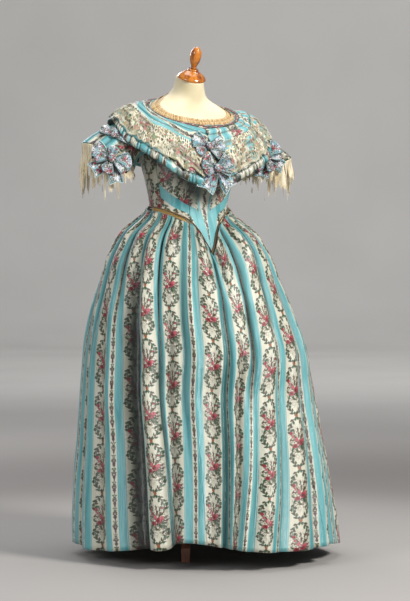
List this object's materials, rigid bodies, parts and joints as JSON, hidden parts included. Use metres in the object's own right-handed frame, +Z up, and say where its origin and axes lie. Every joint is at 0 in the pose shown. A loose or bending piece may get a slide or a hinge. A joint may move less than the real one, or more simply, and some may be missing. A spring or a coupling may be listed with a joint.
{
  "type": "ball gown on a dress form",
  "caption": "Mid-19th-century style ball gown of striped and flowered silk with pointed bodice, wide bertha, bows and lace, worn by a limbless dress form on a wooden stand.",
  "frame": {"origin": "on the floor, below the middle of the whole object's box", "axes": "+Z up; the gown faces -Y; the wearer's left is +X"},
  "size_m": [0.7776, 0.8372, 1.491],
  "materials": {
    "silk": "lustrous striped silk, turquoise and cream with woven flowers",
    "lace": "ecru bobbin lace",
    "piping": "dark silk-covered cord",
    "waist_tape": "plain ochre tape",
    "form_cover": "smooth ivory cotton jersey",
    "turned_wood": "glossy amber varnish",
    "stand_wood": "satin reddish brown"
  },
  "bodies": {
    "root": {"form_body": "form_cover", "neck_cap": "turned_wood", "finial": "turned_wood", "hub": "stand_wood", "pole": "stand_wood", "leg_front": "stand_wood", "leg_left": "stand_wood", "leg_right": "stand_wood", "bodice_centre_front": "silk", "bodice_side_front_left": "silk", "bodice_side_front_right": "silk", "bodice_side_left": "silk", "bodice_side_right": "silk", "bodice_back_left": "silk", "bodice_back_right": "silk", "bodice_shoulder_left": "silk", "bodice_shoulder_right": "silk", "waist_piping": "piping", "waist_tape": "waist_tape", "skirt_front": "silk", "skirt_side_front_left": "silk", "skirt_side_front_right": "silk", "skirt_side_back_left": "silk", "skirt_side_back_right": "silk", "skirt_back": "silk", "bertha_front_left": "silk", "bertha_front_right": "silk", "bertha_back_left": "silk", "bertha_back_right": "silk", "bertha_band_left": "silk", "bertha_band_right": "silk", "bertha_lace_left": "lace", "bertha_lace_right": "lace", "neck_ruche": "silk", "neck_lace": "lace", "sleeve_left": "silk", "sleeve_right": "silk", "sleeve_lace_left": "lace", "sleeve_lace_right": "lace", "bow_upper": "silk", "bow_lower": "silk", "sleeve_bow_left": "silk", "sleeve_bow_right": "silk"}
  },
  "joints": []
}
